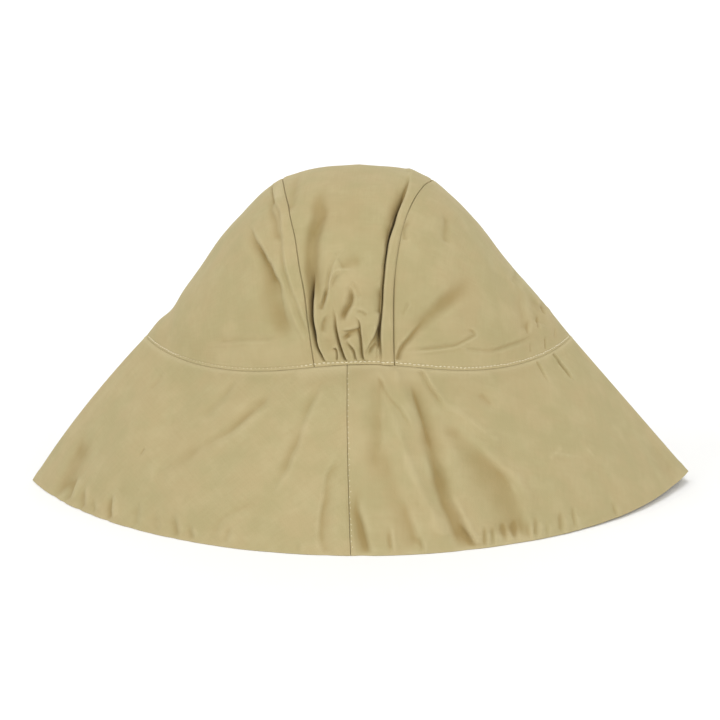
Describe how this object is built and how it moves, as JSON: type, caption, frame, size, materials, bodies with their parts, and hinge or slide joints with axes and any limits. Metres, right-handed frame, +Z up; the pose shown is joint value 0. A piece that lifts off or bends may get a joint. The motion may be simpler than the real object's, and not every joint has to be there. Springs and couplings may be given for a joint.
{
  "type": "rain hat",
  "caption": "Soft cloth rain hat with a panelled crown gathered at the back and a wide sloping brim.",
  "frame": {"origin": "on the surface that the hat stands on, under the middle of its brim", "axes": "+Z up through the crown, +Y towards the wearer's front, +X along the hat's long way, to the wearer's right"},
  "size_m": [0.338, 0.2824, 0.1627],
  "materials": {
    "cloth": "washed matte cotton with a soft sheen",
    "facing_cloth": "washed matte cotton, plain underside",
    "thread": "pale sewing thread"
  },
  "bodies": {
    "root": {"crown_centre_panel": "cloth", "crown_side_left": "cloth", "crown_side_right": "cloth", "brim_cloth": "cloth", "brim_facing": "facing_cloth"}
  },
  "joints": []
}
